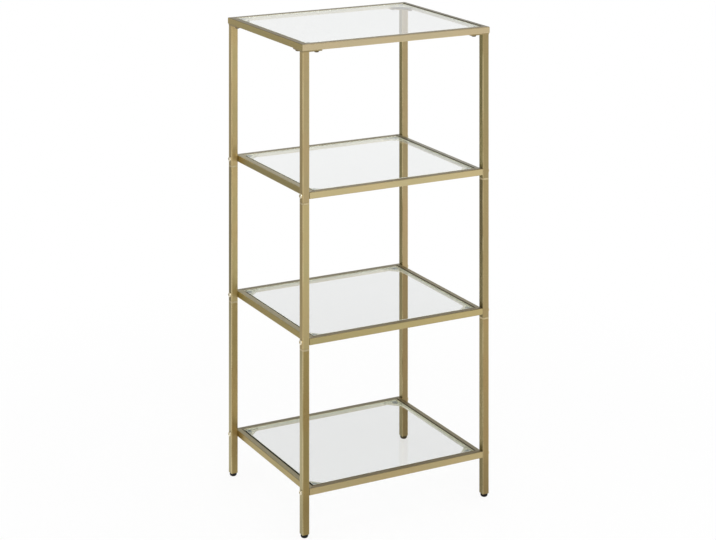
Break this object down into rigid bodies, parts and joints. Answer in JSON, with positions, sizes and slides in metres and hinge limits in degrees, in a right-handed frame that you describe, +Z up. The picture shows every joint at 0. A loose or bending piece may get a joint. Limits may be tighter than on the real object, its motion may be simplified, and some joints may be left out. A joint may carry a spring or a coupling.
{
  "type": "etagere",
  "caption": "Slim open etagere: clear glass panes let into square-tube metal frames, screwed between square posts that stand on round levelling feet.",
  "frame": {"origin": "on the floor, under the middle of the etagere", "axes": "+Z up, +X to the right along the width, -Y to the front"},
  "size_m": [0.4054, 0.332, 0.905],
  "materials": {
    "champagne_metal": "satin champagne gold",
    "pale_metal": "bright champagne plating",
    "dark_screw": "dark burnished",
    "zinc_steel": "zinc plated",
    "clear_glass": "clear float glass, polished edges",
    "clear_pad": "clear soft pad",
    "black_plastic": "moulded, half gloss"
  },
  "bodies": {
    "frame": {"top_front_rail": "champagne_metal", "top_back_rail": "champagne_metal", "top_left_rail": "champagne_metal", "top_right_rail": "champagne_metal", "top_gussets": "champagne_metal", "top_glass_pads": "clear_pad", "top_glass": "clear_glass", "upper_shelf_front_rail": "champagne_metal", "upper_shelf_back_rail": "champagne_metal", "upper_shelf_left_rail": "champagne_metal", "upper_shelf_right_rail": "champagne_metal", "upper_shelf_gussets": "champagne_metal", "upper_shelf_glass_pads": "clear_pad", "upper_shelf_glass": "clear_glass", "middle_shelf_front_rail": "champagne_metal", "middle_shelf_back_rail": "champagne_metal", "middle_shelf_left_rail": "champagne_metal", "middle_shelf_right_rail": "champagne_metal", "middle_shelf_gussets": "champagne_metal", "middle_shelf_glass_pads": "clear_pad", "middle_shelf_glass": "clear_glass", "lower_shelf_front_rail": "champagne_metal", "lower_shelf_back_rail": "champagne_metal", "lower_shelf_left_rail": "champagne_metal", "lower_shelf_right_rail": "champagne_metal", "lower_shelf_gussets": "champagne_metal", "lower_shelf_glass_pads": "clear_pad", "lower_shelf_glass": "clear_glass", "front_left_post_upper": "champagne_metal", "front_left_post_middle": "champagne_metal", "front_left_post_lower": "champagne_metal", "front_right_post_upper": "champagne_metal", "front_right_post_middle": "champagne_metal", "front_right_post_lower": "champagne_metal", "back_left_post_upper": "champagne_metal", "back_left_post_middle": "champagne_metal", "back_left_post_lower": "champagne_metal", "back_right_post_upper": "champagne_metal", "back_right_post_middle": "champagne_metal", "back_right_post_lower": "champagne_metal", "upper_shelf_post_sleeves": "pale_metal", "middle_shelf_post_sleeves": "pale_metal", "upper_shelf_screws": "pale_metal", "upper_shelf_nuts": "zinc_steel", "middle_shelf_screws": "pale_metal", "middle_shelf_nuts": "zinc_steel", "lower_shelf_screws": "pale_metal", "lower_shelf_nuts": "zinc_steel", "post_brackets": "champagne_metal", "bracket_screws": "dark_screw", "bracket_nuts": "zinc_steel", "foot_inserts": "black_plastic"},
    "front_left_foot_stud": {"front_left_foot_stud": "zinc_steel"},
    "front_left_foot_glide": {"front_left_foot_glide": "black_plastic"},
    "front_right_foot_stud": {"front_right_foot_stud": "zinc_steel"},
    "front_right_foot_glide": {"front_right_foot_glide": "black_plastic"},
    "back_left_foot_stud": {"back_left_foot_stud": "zinc_steel"},
    "back_left_foot_glide": {"back_left_foot_glide": "black_plastic"},
    "back_right_foot_stud": {"back_right_foot_stud": "zinc_steel"},
    "back_right_foot_glide": {"back_right_foot_glide": "black_plastic"}
  },
  "joints": [
    {"name": "front_left_foot_travel", "type": "slide", "parent": "frame", "child": "front_left_foot_stud", "axis": [0, 0, -1], "range_m": [0, 0.01]},
    {"name": "front_left_foot_turn", "type": "hinge", "parent": "front_left_foot_stud", "child": "front_left_foot_glide", "pos_m": [-0.193, -0.158, 0], "axis": [0, 0, -1], "range_deg": [0, 3600]},
    {"name": "front_right_foot_travel", "type": "slide", "parent": "frame", "child": "front_right_foot_stud", "axis": [0, 0, -1], "range_m": [0, 0.01]},
    {"name": "front_right_foot_turn", "type": "hinge", "parent": "front_right_foot_stud", "child": "front_right_foot_glide", "pos_m": [0.193, -0.158, 0], "axis": [0, 0, -1], "range_deg": [0, 3600]},
    {"name": "back_left_foot_travel", "type": "slide", "parent": "frame", "child": "back_left_foot_stud", "axis": [0, 0, -1], "range_m": [0, 0.01]},
    {"name": "back_left_foot_turn", "type": "hinge", "parent": "back_left_foot_stud", "child": "back_left_foot_glide", "pos_m": [-0.193, 0.158, 0], "axis": [0, 0, -1], "range_deg": [0, 3600]},
    {"name": "back_right_foot_travel", "type": "slide", "parent": "frame", "child": "back_right_foot_stud", "axis": [0, 0, -1], "range_m": [0, 0.01]},
    {"name": "back_right_foot_turn", "type": "hinge", "parent": "back_right_foot_stud", "child": "back_right_foot_glide", "pos_m": [0.193, 0.158, 0], "axis": [0, 0, -1], "range_deg": [0, 3600]}
  ],
  "couplings": [
    {"joint": "front_left_foot_turn", "follows": "front_left_foot_travel", "rad_per_m": 6283.2},
    {"joint": "front_right_foot_turn", "follows": "front_right_foot_travel", "rad_per_m": 6283.2},
    {"joint": "back_left_foot_turn", "follows": "back_left_foot_travel", "rad_per_m": 6283.2},
    {"joint": "back_right_foot_turn", "follows": "back_right_foot_travel", "rad_per_m": 6283.2}
  ]
}
